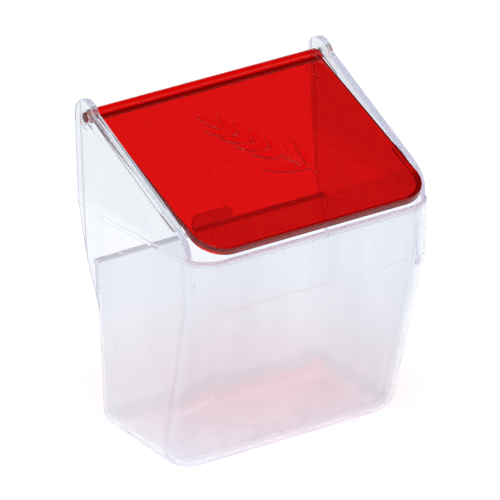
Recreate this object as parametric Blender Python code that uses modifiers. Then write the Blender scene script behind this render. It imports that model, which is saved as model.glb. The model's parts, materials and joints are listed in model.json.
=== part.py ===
"""Outside seed feeder for a bird cage: a clear moulded bin and a hinged red lid.

Metres, +Z up, the hopper's front wall towards -Y. The origin is at the middle of the floor on
which the bin stands. The rim, cheeks, hinge and lid are laid out in a rim frame, which leans
back a little from the floor: its Z = 0 plane is the rim, and its X axis is the feeder's width.
"""
import math

import bmesh
import bpy
from mathutils import Matrix, Vector

# Driving dimensions, in metres and radians
RIM_HALF_WIDTH = 0.0450
RIM_FRONT = -0.03365
RIM_HEIGHT = 0.07725
RIM_SETBACK = -0.0004
LEAN = math.radians(3.26)

# Hopper: sections of the outer wall at the crease and at the floor, in the rim frame
WALL = 0.0016
FLOOR_THICKNESS = 0.0018
CREASE_Z = -0.0173
CREASE = {"half_width": 0.04435, "front": -0.03317, "back": 0.0279, "front_radius": 0.0097}
FLOOR = {"half_width": 0.0422, "front": -0.0143, "back": 0.0306, "front_radius": 0.0086}
RIM = {"half_width": RIM_HALF_WIDTH - 0.00015, "front": RIM_FRONT, "back": 0.0279,
       "front_radius": 0.0097}
BACK_RADIUS = 0.0040
FLOOR_FILLET = 0.0074
FLOOR_CENTRE_Y = 0.0082
FLOOR_CORNER_SHARE = 0.6
SMALLEST_FRONT_RADIUS = 0.0008
SMALLEST_BACK_RADIUS = 0.0006
FRONT_CORNER_STEPS = 7
BACK_CORNER_STEPS = 4
FILLET_STEPS = 5
HOPPER_MOUTH = 0.0040

# Cheeks: the side walls above the rim, which end in the hinge ears
CHEEK_THICKNESS = 0.0019
HINGE = Vector((0.0, 0.0280, 0.0302))
EAR_RADIUS = 0.0059
CHEEK_BACK = 0.0340
SLOPE_ANGLE = math.radians(28.06)
SLOPE_AT_ZERO = 0.0205
KNEE_Y = -0.0195
CHEEK_FRONT = -0.0266
CHEEK_FRONT_FOOT = 0.0015
CHEEK_FOOT = -0.0005
CORNER_BENDS = (0.0, 0.0012, 0.0022)

# Beads: the thickened strips inside the cheeks, along the sloped edges and round the ears
BEAD_INNER = 0.0426
BEAD_OUTER = 0.0442
BEAD_DEPTH = 0.0032
BEAD_SETBACK = 0.00005
BEAD_REAR_Y = 0.0205
BEAD_FRONT_Y = -0.0145
BEAD_FRONT_TURN = (-0.0169, 0.0064)
BEAD_EAR_START = -70

# Wings: the side walls carried on behind the back wall, down to a point below the crease
WING_OUTER = 0.04482
WING_INNER = 0.04315
WING_ROOT = 0.0220
WING_CREASE_Y = 0.0310
WING_TIP_Y = 0.0257
WING_TIP_Z = -0.0345

# Rear opening, hanging tab and hinge holes
SILL_Z = -0.0172
OPENING_HALF_WIDTH = 0.0438
OPENING_FRONT = 0.0247
OPENING_BACK = 0.0400
OPENING_TOP = 0.0100
TAB_HALF_WIDTH = 0.0075
TAB_RISE = 0.0045
TAB_ROOT = 0.0020
TAB_CORNER_RADIUS = 0.0022
TAB_THICKNESS = 0.0012
HOLE_RADIUS = 0.00195
LEAD_IN_LENGTH = 0.0105
LEAD_IN_LIFT = 0.0006
LEAD_IN_END_RADIUS = 0.0012
LEAD_IN_DEPTH = 0.0008
CUT_MARGIN = 0.0020

# Lid, in its own frame: origin on the hinge axis, -Y down the slope, Z out of the top face
LID_SLOPE = math.radians(24.0)
LID_HALF_WIDTH = 0.0420
LID_LENGTH = 0.0683
LID_REAR = -0.0002
LID_TOP = 0.00188
LID_THICKNESS = 0.0022
LID_CORNER_RADIUS = 0.0100
LID_EDGE_BEVEL = 0.0003
BAR_RADIUS = 0.0023
PIN_RADIUS = 0.00165
PIN_REACH = 0.0448
GROOVE_Y = -0.0036
GROOVE_RADIUS = 0.0007
GROOVE_LIFT = 0.0002
LUG_Y = -0.0486
LUG_HALF_LENGTH = 0.0044
LUG_HEIGHT = 0.0003
LUG_STEPS = 8
LEDGE_LENGTH = 0.0080
LEDGE_DEPTH = 0.0014
LEDGE_THICKNESS = 0.0012
LEDGE_ROOT = 0.0006
GAP = 0.0003

MERGE = 0.00001
SMOOTH_ANGLE = math.radians(32)


def clear_scene():
    for old in list(bpy.data.objects):
        bpy.data.objects.remove(old, do_unlink=True)


def new_collection(name):
    collection = bpy.data.collections.new(name)
    bpy.context.scene.collection.children.link(collection)
    return collection


def plastic(name, colour, alpha, roughness):
    material = bpy.data.materials.new(name)
    material.use_nodes = True
    shader = material.node_tree.nodes["Principled BSDF"]
    shader.inputs["Base Color"].default_value = (*colour, 1.0)
    shader.inputs["Roughness"].default_value = roughness
    shader.inputs["Metallic"].default_value = 0.0
    shader.inputs["IOR"].default_value = 1.59
    shader.inputs["Alpha"].default_value = alpha
    return material


def mesh_object(name, mesh, collection):
    item = bpy.data.objects.new(name, mesh)
    collection.objects.link(item)
    return item


def as_tool(item):
    """Keep a cutter or a shape to be joined out of the finished model."""
    item.hide_render = True
    item.display_type = 'WIRE'
    return item


def boolean(target, tool, operation):
    modifier = target.modifiers.new(tool.name, 'BOOLEAN')
    modifier.operation = operation
    modifier.solver = 'EXACT'
    modifier.object = tool


def arc(centre, radius, start, end, steps):
    """Points on an arc in a plane, from the start to the end angle in degrees."""
    points = []
    for step in range(steps + 1):
        angle = math.radians(start + (end - start) * step / steps)
        points.append((centre[0] + radius * math.cos(angle), centre[1] + radius * math.sin(angle)))
    return points


def outline_mesh(name, points, thickness):
    """A flat plate in the XY plane, with its thickness centred on that plane."""
    curve = bpy.data.curves.new(name, 'CURVE')
    curve.dimensions = '2D'
    curve.fill_mode = 'BOTH'
    curve.extrude = thickness / 2
    spline = curve.splines.new('POLY')
    spline.points.add(len(points) - 1)
    for point, (x, y) in zip(spline.points, points):
        point.co = (x, y, 0.0, 1.0)
    spline.use_cyclic_u = True
    holder = bpy.data.objects.new(name, curve)
    bpy.context.scene.collection.objects.link(holder)
    bpy.context.view_layer.update()
    evaluated = holder.evaluated_get(bpy.context.evaluated_depsgraph_get())
    mesh = bpy.data.meshes.new_from_object(evaluated)
    bpy.data.objects.remove(holder, do_unlink=True)
    bpy.data.curves.remove(curve)
    shape = bmesh.new()
    shape.from_mesh(mesh)
    bmesh.ops.remove_doubles(shape, verts=shape.verts, dist=MERGE)
    bmesh.ops.dissolve_limit(shape, angle_limit=math.radians(0.5), verts=shape.verts,
                             edges=shape.edges)
    bmesh.ops.recalc_face_normals(shape, faces=shape.faces)
    shape.to_mesh(mesh)
    shape.free()
    return mesh


def side_plate(name, outline, inner_x, outer_x, collection):
    """A plate across X between two distances from the middle, from an outline in Y and Z."""
    mesh = outline_mesh(name, outline, outer_x - inner_x)
    middle = Matrix.Translation(((inner_x + outer_x) / 2, 0.0, 0.0))
    turn = Matrix(((0, 0, 1, 0), (1, 0, 0, 0), (0, 1, 0, 0), (0, 0, 0, 1)))
    mesh.transform(middle @ turn)
    return mesh_object(name, mesh, collection)


def both_sides(half):
    """A tool made at +X, with its mirror image at -X."""
    mirror = half.modifiers.new("both_sides", 'MIRROR')
    mirror.use_mirror_merge = False
    return as_tool(half)


# ---- hopper -------------------------------------------------------------------------------

def section(level):
    """The outer wall's section at a level: 0 at the crease and 1 at the floor."""
    return {key: CREASE[key] + (FLOOR[key] - CREASE[key]) * level for key in CREASE}


def floor_z():
    """Where the floor's underside crosses the rim frame's Z axis."""
    return -RIM_HEIGHT / math.cos(LEAN)


def rounded_rectangle(shape, inset, corner_inset):
    """Corner arcs of a wall section, anticlockwise from the front left."""
    front_radius = max(shape["front_radius"] - corner_inset, SMALLEST_FRONT_RADIUS)
    back_radius = max(BACK_RADIUS - corner_inset, SMALLEST_BACK_RADIUS)
    half = shape["half_width"] - inset
    front = shape["front"] + inset
    back = shape["back"] - inset
    front_y = front + front_radius
    back_y = back - back_radius
    return (arc((-half + front_radius, front_y), front_radius, 180, 270, FRONT_CORNER_STEPS)
            + arc((half - front_radius, front_y), front_radius, 270, 360, FRONT_CORNER_STEPS)
            + arc((half - back_radius, back_y), back_radius, 0, 90, BACK_CORNER_STEPS)
            + arc((-half + back_radius, back_y), back_radius, 90, 180, BACK_CORNER_STEPS))


def hopper_rings(inset, floor_rise, mouth):
    """Rings of points from the floor up to the rim, and on to a mouth above it if there is one."""
    drop = CREASE_Z - floor_z() - FLOOR_CENTRE_Y * math.tan(LEAN)
    fillet = FLOOR_FILLET - inset
    rings = []
    for step in range(FILLET_STEPS + 1):
        angle = math.pi / 2 * (1 - step / FILLET_STEPS)
        height = CREASE_Z - drop + floor_rise + fillet * (1 - math.sin(angle))
        level = (CREASE_Z - height) / drop
        narrowing = fillet * (1 - math.cos(angle))
        points = rounded_rectangle(section(level), inset + narrowing,
                                   inset + FLOOR_CORNER_SHARE * narrowing)
        slope = math.tan(LEAN) * level
        rings.append([(x, y, height + slope * (y - FLOOR_CENTRE_Y)) for x, y in points])
    rings.append([(x, y, CREASE_Z) for x, y in rounded_rectangle(CREASE, inset, inset)])
    rim = rounded_rectangle(RIM, inset, inset)
    for height in sorted({0.0, mouth}):
        rings.append([(x, y, height) for x, y in rim])
    return rings


def loft(name, rings, collection):
    """A closed solid through rings that have the same number of points."""
    shape = bmesh.new()
    levels = [[shape.verts.new(point) for point in ring] for ring in rings]
    count = len(rings[0])
    for lower, upper in zip(levels, levels[1:]):
        for i in range(count):
            j = (i + 1) % count
            shape.faces.new((lower[i], lower[j], upper[j], upper[i]))
    shape.faces.new(list(reversed(levels[0])))
    shape.faces.new(levels[-1])
    bmesh.ops.recalc_face_normals(shape, faces=shape.faces)
    mesh = bpy.data.meshes.new(name)
    shape.to_mesh(mesh)
    shape.free()
    return mesh_object(name, mesh, collection)


# ---- cheeks -------------------------------------------------------------------------------

def slope_z(y):
    """Height of the cheek's sloped edge above the rim plane."""
    return SLOPE_AT_ZERO + math.tan(SLOPE_ANGLE) * y


def ear_meets_slope():
    """Angle, in degrees, at which the ear's circle runs into the sloped edge."""
    distance = (slope_z(HINGE.y) - HINGE.z) * math.cos(SLOPE_ANGLE)
    return 180.0 + math.degrees(SLOPE_ANGLE - math.asin(distance / EAR_RADIUS))


def front_curve(steps):
    """The cheek's front end: a quadratic curve from the sloped edge down to the rim."""
    start = Vector((KNEE_Y, slope_z(KNEE_Y)))
    corner = Vector((CHEEK_FRONT, slope_z(CHEEK_FRONT)))
    foot = Vector((CHEEK_FRONT, CHEEK_FRONT_FOOT))
    points = []
    for step in range(steps + 1):
        t = step / steps
        point = start * (1 - t) ** 2 + corner * 2 * t * (1 - t) + foot * t ** 2
        points.append((point.x, point.y))
    return points


def cheek_outline():
    ear = arc((HINGE.y, HINGE.z), EAR_RADIUS, 0, ear_meets_slope(), 14)
    return [(CHEEK_FRONT, CHEEK_FOOT), (CHEEK_BACK, CHEEK_FOOT)] + ear + front_curve(7)


def wing_outline():
    overlap = -CHEEK_FOOT
    return [(WING_ROOT, overlap), (WING_ROOT, WING_TIP_Z), (WING_TIP_Y, WING_TIP_Z),
            (WING_CREASE_Y, CREASE_Z), (CHEEK_BACK, 0.0), (CHEEK_BACK, overlap)]


def bead_outline():
    ear = arc((HINGE.y, HINGE.z), EAR_RADIUS - BEAD_SETBACK, BEAD_EAR_START, ear_meets_slope(), 14)
    edge = [(y, z - BEAD_SETBACK) for y, z in front_curve(5)[:-1]]
    drop = BEAD_DEPTH / math.cos(SLOPE_ANGLE)
    lower_edge = [(y, slope_z(y) - drop) for y in (BEAD_FRONT_Y, BEAD_REAR_Y)]
    return ear + edge + [BEAD_FRONT_TURN] + lower_edge


def side_offset(y, z):
    """How far the side wall lies inside the rim's half width, at a point of its surface."""
    above_crease = min(max(z / CREASE_Z, 0.0), 1.0)
    below_crease = max((CREASE_Z - z) / (CREASE_Z - floor_z()), 0.0)
    taper = (RIM["half_width"] - CREASE["half_width"]) * above_crease
    taper += (CREASE["half_width"] - FLOOR["half_width"]) * below_crease
    radius = RIM["front_radius"]
    past_corner = min(max(RIM["front"] + radius - y, 0.0), radius)
    return taper + radius - math.sqrt(radius ** 2 - past_corner ** 2)


def follow_wall(item):
    """Cut a flat side plate at the bends of the side wall and lay it along that wall."""
    shape = bmesh.new()
    shape.from_mesh(item.data)
    corner_start = RIM["front"] + RIM["front_radius"]
    bends = [((0, 0, z), (0, 0, 1)) for z in (0.0, CREASE_Z)]
    bends += [((0, corner_start - reach, 0), (0, 1, 0)) for reach in CORNER_BENDS]
    for point, normal in bends:
        everything = list(shape.verts) + list(shape.edges) + list(shape.faces)
        bmesh.ops.bisect_plane(shape, geom=everything, plane_co=point, plane_no=normal, dist=MERGE)
    for vertex in shape.verts:
        vertex.co.x -= side_offset(vertex.co.y, vertex.co.z)
    bmesh.ops.triangulate(shape, faces=shape.faces)
    shape.to_mesh(item.data)
    shape.free()


def move_to(item, collection):
    for old in list(item.users_collection):
        old.objects.unlink(item)
    collection.objects.link(item)


def box(name, low, high, collection):
    bpy.ops.mesh.primitive_cube_add(size=1.0)
    item = bpy.context.active_object
    item.name = name
    size = Vector(high) - Vector(low)
    middle = (Vector(high) + Vector(low)) / 2
    item.data.transform(Matrix.Translation(middle) @ Matrix.Diagonal((*size, 1.0)))
    move_to(item, collection)
    return item


def cylinder_x(name, radius, start, end, steps, collection):
    """A cylinder along X, centred on the object's own origin line."""
    bpy.ops.mesh.primitive_cylinder_add(radius=radius, depth=end - start, vertices=steps)
    item = bpy.context.active_object
    item.name = name
    turn = Matrix.Rotation(math.radians(90), 4, 'Y')
    item.data.transform(Matrix.Translation(((start + end) / 2, 0, 0)) @ turn)
    move_to(item, collection)
    return item


def wall_plates(tools):
    """The side plates that carry the hopper's side walls up and back: wings, cheeks and beads."""
    wing = side_plate("wings", wing_outline(), WING_INNER, WING_OUTER, tools)
    cheek = side_plate("cheeks", cheek_outline(), RIM_HALF_WIDTH - CHEEK_THICKNESS,
                       RIM_HALF_WIDTH, tools)
    bead = side_plate("beads", bead_outline(), BEAD_INNER, BEAD_OUTER, tools)
    for plate in (wing, cheek, bead):
        follow_wall(plate)
    return [both_sides(plate) for plate in (wing, cheek, bead)]


def rest_ledges(tools):
    """A ledge inside each cheek, square to the lid, on which the closed lid rests."""
    top = LID_TOP - LID_THICKNESS - GAP
    low = (BEAD_INNER - LEDGE_DEPTH, LUG_Y - LEDGE_LENGTH / 2, top - LEDGE_THICKNESS)
    high = (BEAD_INNER + LEDGE_ROOT, LUG_Y + LEDGE_LENGTH / 2, top)
    ledge = box("ledges", low, high, tools)
    ledge.data.transform(Matrix.Translation(HINGE) @ Matrix.Rotation(LID_SLOPE, 4, 'X'))
    return both_sides(ledge)


def sill_tab(tools):
    """A round-cornered tab that stands on the sill of the rear opening."""
    corner_x = TAB_HALF_WIDTH - TAB_CORNER_RADIUS
    corner_z = SILL_Z + TAB_RISE - TAB_CORNER_RADIUS
    outline = ([(-TAB_HALF_WIDTH, SILL_Z - TAB_ROOT), (TAB_HALF_WIDTH, SILL_Z - TAB_ROOT)]
               + arc((corner_x, corner_z), TAB_CORNER_RADIUS, 0, 90, 5)
               + arc((-corner_x, corner_z), TAB_CORNER_RADIUS, 90, 180, 5))
    mesh = outline_mesh("tab", outline, TAB_THICKNESS)
    middle_y = RIM["back"] - WALL / 2
    mesh.transform(Matrix.Translation((0, middle_y, 0)) @ Matrix.Rotation(math.pi / 2, 4, 'X'))
    return as_tool(mesh_object("tab", mesh, tools))


def hinge_cuts(tools):
    """The hinge holes through the ears, and the shallow slots that lead the pins into them."""
    hole = cylinder_x("hinge_holes", HOLE_RADIUS, BEAD_INNER - CUT_MARGIN,
                      RIM_HALF_WIDTH + CUT_MARGIN, 24, tools)
    hole.data.transform(Matrix.Translation(HINGE))
    along = math.degrees(SLOPE_ANGLE)
    end = (HINGE.y - LEAD_IN_LENGTH * math.cos(SLOPE_ANGLE),
           HINGE.z - LEAD_IN_LENGTH * math.sin(SLOPE_ANGLE) + LEAD_IN_LIFT)
    outline = (arc((HINGE.y, HINGE.z), HOLE_RADIUS, along - 80, along + 80, 8)
               + arc(end, LEAD_IN_END_RADIUS, along + 100, along + 260, 6))
    slot = side_plate("lead_ins", outline, BEAD_INNER - CUT_MARGIN, BEAD_INNER + LEAD_IN_DEPTH, tools)
    return [both_sides(hole), both_sides(slot)]


def build_bin(rim_frame, parts, tools):
    feeder_bin = loft("bin", hopper_rings(0.0, 0.0, 0.0), parts)
    inside = as_tool(loft("inside", hopper_rings(WALL, FLOOR_THICKNESS, HOPPER_MOUTH), tools))
    opening = as_tool(box("rear_opening", (-OPENING_HALF_WIDTH, OPENING_FRONT, SILL_Z),
                          (OPENING_HALF_WIDTH, OPENING_BACK, OPENING_TOP), tools))
    additions = wall_plates(tools) + [rest_ledges(tools), sill_tab(tools)]
    cuts = hinge_cuts(tools)
    for tool in (inside, opening):
        boolean(feeder_bin, tool, 'DIFFERENCE')
    for tool in additions:
        boolean(feeder_bin, tool, 'UNION')
    for tool in cuts:
        boolean(feeder_bin, tool, 'DIFFERENCE')
    for item in [feeder_bin, inside, opening] + additions + cuts:
        item.parent = rim_frame
    return feeder_bin


# ---- lid ----------------------------------------------------------------------------------

def lug(side):
    """A shallow bulge of the lid's side edge, from its rear end to its front end."""
    radius = (LUG_HALF_LENGTH ** 2 + LUG_HEIGHT ** 2) / (2 * LUG_HEIGHT)
    centre = LID_HALF_WIDTH + LUG_HEIGHT - radius
    points = []
    for step in range(LUG_STEPS + 1):
        y = LUG_Y + LUG_HALF_LENGTH * (1 - 2 * step / LUG_STEPS)
        x = centre + math.sqrt(radius ** 2 - (y - LUG_Y) ** 2)
        points.append((side * x, y))
    return points


def lid_outline():
    corner_x = LID_HALF_WIDTH - LID_CORNER_RADIUS
    corner_y = -LID_LENGTH + LID_CORNER_RADIUS
    right = [(LID_HALF_WIDTH, LID_REAR)] + lug(1)
    right += arc((corner_x, corner_y), LID_CORNER_RADIUS, 0, -90, 9)
    left = arc((-corner_x, corner_y), LID_CORNER_RADIUS, 270, 180, 9)
    left += list(reversed(lug(-1))) + [(-LID_HALF_WIDTH, LID_REAR)]
    return list(reversed(right + left))


def build_lid(hinge_axis, parts, tools):
    mesh = outline_mesh("lid", lid_outline(), LID_THICKNESS)
    mesh.transform(Matrix.Translation((0, 0, LID_TOP - LID_THICKNESS / 2)))
    lid = mesh_object("lid", mesh, parts)
    bevel = lid.modifiers.new("edge", 'BEVEL')
    bevel.width = LID_EDGE_BEVEL
    bevel.segments = 1
    bevel.limit_method = 'ANGLE'
    bevel.angle_limit = math.radians(60)

    bar = as_tool(cylinder_x("bar", BAR_RADIUS, -LID_HALF_WIDTH, LID_HALF_WIDTH, 24, tools))
    pins = as_tool(cylinder_x("pins", PIN_RADIUS, -PIN_REACH, PIN_REACH, 20, tools))
    groove_end = LID_HALF_WIDTH + CUT_MARGIN
    groove = as_tool(cylinder_x("groove", GROOVE_RADIUS, -groove_end, groove_end, 12, tools))
    groove.data.transform(Matrix.Translation((0, GROOVE_Y, LID_TOP + GROOVE_LIFT)))
    boolean(lid, bar, 'UNION')
    boolean(lid, pins, 'UNION')
    boolean(lid, groove, 'DIFFERENCE')
    for item in (lid, bar, pins, groove):
        item.parent = hinge_axis
    return lid


def smooth(item):
    item.data.shade_smooth()
    item.data.set_sharp_from_angle(angle=SMOOTH_ANGLE)


def main():
    clear_scene()
    parts = new_collection("trough_feeder")
    tools = new_collection("cutters")

    rim_frame = bpy.data.objects.new("rim_frame", None)
    parts.objects.link(rim_frame)
    rim_frame.location = (0.0, RIM_SETBACK, RIM_HEIGHT)
    rim_frame.rotation_euler = (-LEAN, 0.0, 0.0)

    hinge_axis = bpy.data.objects.new("hinge_axis", None)
    parts.objects.link(hinge_axis)
    hinge_axis.parent = rim_frame
    hinge_axis.location = HINGE
    hinge_axis.rotation_euler = (LID_SLOPE, 0.0, 0.0)

    feeder_bin = build_bin(rim_frame, parts, tools)
    lid = build_lid(hinge_axis, parts, tools)
    feeder_bin.data.materials.append(plastic("clear_polystyrene", (0.86, 0.90, 0.94), 0.35, 0.08))
    lid.data.materials.append(plastic("red_polystyrene", (0.66, 0.01, 0.01), 0.85, 0.12))
    smooth(feeder_bin)
    smooth(lid)


main()
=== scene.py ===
"""Looks of an outside seed feeder: a clear moulded bin and a hinged lid of clear red plastic.

Metres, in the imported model's frame: +Z up, the front wall towards -Y. The rim, cheeks and lid are
laid out in a rim frame that leans back a little: its Z = 0 plane is the hopper's rim.
"""
import json
import math

import bmesh
import bpy
from mathutils import Matrix, Vector


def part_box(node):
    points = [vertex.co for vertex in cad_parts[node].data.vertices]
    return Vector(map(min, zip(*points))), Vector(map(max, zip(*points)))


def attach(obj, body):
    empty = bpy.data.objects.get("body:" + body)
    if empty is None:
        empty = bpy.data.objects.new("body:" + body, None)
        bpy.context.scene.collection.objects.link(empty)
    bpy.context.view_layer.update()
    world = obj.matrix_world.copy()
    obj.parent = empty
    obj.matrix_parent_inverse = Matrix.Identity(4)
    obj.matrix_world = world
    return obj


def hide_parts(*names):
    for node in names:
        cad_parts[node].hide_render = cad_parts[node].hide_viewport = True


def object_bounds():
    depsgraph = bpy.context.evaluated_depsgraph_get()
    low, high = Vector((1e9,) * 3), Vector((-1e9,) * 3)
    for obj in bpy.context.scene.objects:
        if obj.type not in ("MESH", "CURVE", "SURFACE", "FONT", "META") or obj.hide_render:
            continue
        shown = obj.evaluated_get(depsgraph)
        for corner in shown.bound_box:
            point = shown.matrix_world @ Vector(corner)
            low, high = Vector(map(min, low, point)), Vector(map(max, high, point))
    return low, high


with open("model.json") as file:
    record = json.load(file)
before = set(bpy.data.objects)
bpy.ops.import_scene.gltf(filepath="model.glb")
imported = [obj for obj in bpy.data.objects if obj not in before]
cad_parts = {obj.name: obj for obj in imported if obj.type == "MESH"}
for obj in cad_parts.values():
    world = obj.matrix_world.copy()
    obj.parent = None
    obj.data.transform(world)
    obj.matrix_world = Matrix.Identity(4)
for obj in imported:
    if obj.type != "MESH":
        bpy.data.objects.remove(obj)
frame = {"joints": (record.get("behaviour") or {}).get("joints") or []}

CAD_LOW, CAD_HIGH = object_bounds()
HINGE = Vector(frame["joints"][0]["pos_m"])
HALF_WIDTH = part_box("bin")[1].x
PIN_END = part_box("lid")[1].x

# Rim frame: where the hinge lies in it, and how far it leans back
LEAN = math.radians(3.26)
HINGE_Y = 0.0280
HINGE_Z = 0.0302
RIM_FRAME = (Matrix.Translation(HINGE) @ Matrix.Rotation(-LEAN, 4, 'X')
             @ Matrix.Translation((0.0, -HINGE_Y, -HINGE_Z)))
RIM_HEIGHT = RIM_FRAME.translation.z

# Hopper: sections of the outer wall at the rim, crease and floor
WALL = 0.0016
FLOOR_THICKNESS = 0.0018
CREASE_Z = -0.0173
CREASE_BLEND = 0.0003
RIM = {"half": HALF_WIDTH - 0.00015, "front": -0.03365, "back": 0.0279, "radius": 0.0097}
CREASE = {"half": HALF_WIDTH - 0.00065, "front": -0.03317, "back": 0.0279, "radius": 0.0097}
FLOOR = {"half": HALF_WIDTH - 0.0028, "front": -0.0143, "back": 0.0306, "radius": 0.0086}
BACK_RADIUS = 0.0040
FLOOR_FILLET = 0.0074
FLOOR_CENTRE_Y = 0.0082
FLOOR_CORNER_SHARE = 0.6
LEAST_FRONT_RADIUS = 0.0008
LEAST_BACK_RADIUS = 0.0006
LIP_RADIUS = 0.00045
LAND_DEPTH = 0.0018
LAND_RISE = 0.00012
FRONT_STEPS = 18
BACK_STEPS = 8
FILLET_STEPS = 12
BLEND_STEPS = 4
LIP_STEPS = 4
ROD_SIDES = 24

# Cheeks, with the thickened strip (bead) along the sloped edge and round the ear
CHEEK_THICKNESS = 0.0019
EAR_RADIUS = 0.005887
EAR_STEPS = 40
CHEEK_BACK = 0.03389
SLOPE_ANGLE = math.radians(28.06)
SLOPE_AT_ZERO = 0.0205
KNEE_Y = -0.0195
CHEEK_FRONT = -0.0266
CHEEK_FRONT_FOOT = 0.0015
CHEEK_FOOT = -0.0004
FRONT_CURVE_STEPS = 18
EDGE_RADIUS = 0.0004
BEAD_RISE = 0.0005
BEAD_WIDTH = 0.0030
BEAD_FADE = 0.1
BEAD_FALL = 1.6
BEND_COUNT = 8
BEND_STEP = 0.00035
BOSS_RADIUS = 0.0042
BOSS_RISE = 0.00006
BOSS_SIDES = 41
HOLE_RADIUS = 0.00195
HOLE_CHAMFER = 0.0004
HOLE_SIDES = 48
LEAD_IN_LENGTH = 0.0105
LEAD_IN_DEPTH = 0.0008
LEAD_IN_LIFT = 0.0006
LEAD_IN_END_RADIUS = 0.0012
LEAD_IN_SPREAD = 80
LEAD_IN_STEPS = 14
PANEL_DEPTH = 0.00014
PANEL_BELOW_SLOPE = 0.0042
PANEL_FRONT = -0.0162
PANEL_BACK = 0.0305
PANEL_FOOT = -0.0007
PANEL_BACK_TOP = 0.0240
PANEL_TOP_Y = 0.0225
PANEL_CUTS = (0.0062, 0.0015, 0.0020, 0.0025, 0.0015)
PANEL_CORNER_STEPS = 8

# Faint upright flow marks inside the hopper: X, Y of the wall's inner face, top and bottom
FLOW_MARKS = ((-0.0368, -0.03205, -0.0030, -0.0086), (-0.0128, -0.03205, -0.0022, -0.0084),
              (-0.0020, -0.03205, -0.0016, -0.0104), (-0.0429, -0.0267, -0.0076, -0.0165),
              (0.0366, -0.0320, -0.0046, -0.0200))
FLOW_RADIUS = 0.0009
FLOW_ROUNDING = 0.9 * FLOW_RADIUS
FLOW_RISE = 0.00024

# Gate mark on the floor
GATE_PLACE = (0.0015, -0.0070)
GATE_RADIUS = 0.0016
GATE_RISE = 0.0003
GATE_OVERLAP = 1.15
GATE_RINGS = 7
GATE_SIDES = 32

# Wings, rear opening and its tab
WING_ROOT = 0.0220
SEAM = 0.000015
WING_CREASE_Y = 0.0310
WING_TIP_Y = 0.0257
WING_TIP_Z = -0.0345
OPENING_HALF_WIDTH = 0.0438
OPENING_FRONT = 0.0237
OPENING_BACK = 0.04
OPENING_TOP = 0.01
SILL_Z = -0.0172
SILL_RADIUS = 0.00085
TAB_HALF_WIDTH = 0.0075
TAB_RISE = 0.0045
TAB_CORNER_RADIUS = 0.0022
TAB_CORNER_STEPS = 10
TAB_THICKNESS = 0.0012
TAB_ROUNDING = ((0.0003, 0.0), (0.0001, 0.0001), (0.0, 0.0003))

# Lid, in its own frame: origin on the hinge axis, -Y down the slope, Z out of the top face
LID_SLOPE = math.radians(24.0)
LID_FRAME = RIM_FRAME @ Matrix.Translation((0, HINGE_Y, HINGE_Z)) @ Matrix.Rotation(LID_SLOPE, 4, 'X')
LID_HALF_WIDTH = 0.0420
LID_LENGTH = 0.0683
LID_REAR = -0.0002
LID_TOP = 0.00188
LID_THICKNESS = 0.0022
LID_CORNER_RADIUS = 0.0100
LID_CORNER_STEPS = 24
LID_EDGE_RADIUS = 0.0005
LID_LIP = 0.0006
LID_LIP_WIDTH = 0.0014
LID_LIP_SLOPE = 0.0004
LID_LIP_START = -0.0560
LID_LIP_FULL = -0.0585
BAR_RADIUS = 0.0023
BAR_ROUNDING = 0.0004
BAR_SIDES = 40
PIN_RADIUS = 0.00165
PIN_ROUNDING = 0.0003
PIN_SIDES = 32
GROOVE_Y = -0.0036
GROOVE_RADIUS = 0.0004
GROOVE_LIFT = -0.0001
LUG_Y = -0.0486
LUG_HALF_LENGTH = 0.0044
LUG_HEIGHT = 0.0003
LUG_STEPS = 16
LEDGE_LENGTH = 0.0080
LEDGE_DEPTH = 0.0010
LEDGE_THICKNESS = 0.0012
LEDGE_ROOT = 0.0010
GAP = 0.0003

# Emblem on the lid: an ear of grain, with its stem from front right to rear left. Grains and leaves
# start at a share of the stem's length, and a leaf has its own turn from the stem.
EMBLEM_FOOT = Vector((0.0110, -0.0480))
EMBLEM_TIP = Vector((-0.0075, -0.0195))
STEM_WIDTH = 0.0012
STEM_EDGE = 0.4 * STEM_WIDTH
GRAIN_PAIRS = 4
GRAIN_FIRST = 0.36
GRAIN_SPACING = 0.16
GRAIN_GAP = 0.0004
GRAIN_LENGTH = 0.0094
GRAIN_WIDTH = 0.0036
GRAIN_FULLNESS = 0.25
GRAIN_ANGLE = math.radians(32)
GRAIN_STEPS = 28
TIP_OVERLAP = 0.0012
LEAF_LENGTH = 0.0150
LEAF_WIDTH = 0.8 * GRAIN_WIDTH
LEAVES = (("leaf_left", math.radians(42), 0.10), ("leaf_right", math.radians(-38), 0.02))
EMBLEM_RISE = 0.00022
EMBLEM_TURN = math.radians(80)
EMBLEM_EDGE = 0.00028
LEAF_EDGE = 0.00015
EMBLEM_STEPS = 6

# Ejector rings in the lid, near its corners: their distance from the lid's middle along X and Y
EJECTOR_PLACE = (0.0372, 0.0282)
EJECTOR_MIDDLE_Y = -0.0356
EJECTOR_RADIUS = 0.0031
EJECTOR_WIDTH = 0.00028

# Both plastics: light is given up where the renderer's limits of 4 reflections and 12 bounces end it
REFRACTIVE_INDEX = 1.59
MOST_REFLECTIONS = 3.5
MOST_BOUNCES = 11.5

# Noises: how each is stretched along X, Y and Z, its scale and its detail
EVEN = (1.0, 1.0, 1.0)
CLOUDS = ((1.0, 1.0, 0.5), 42.0, 3.0)
BANDS = ((1.0, 1.0, 0.05), 95.0, 1.0)
STREAKS = ((1.0, 1.0, 0.09), 110.0, 2.0)
CLEAR_WAVES = (EVEN, 45.0, 0.0)
CLEAR_FILM = (EVEN, 240.0, 4.0)
RED_MOTTLE = (EVEN, 320.0, 4.0)
RED_WAVES = (EVEN, 70.0, 1.0)
RED_FILM = (EVEN, 200.0, 4.0)

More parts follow.
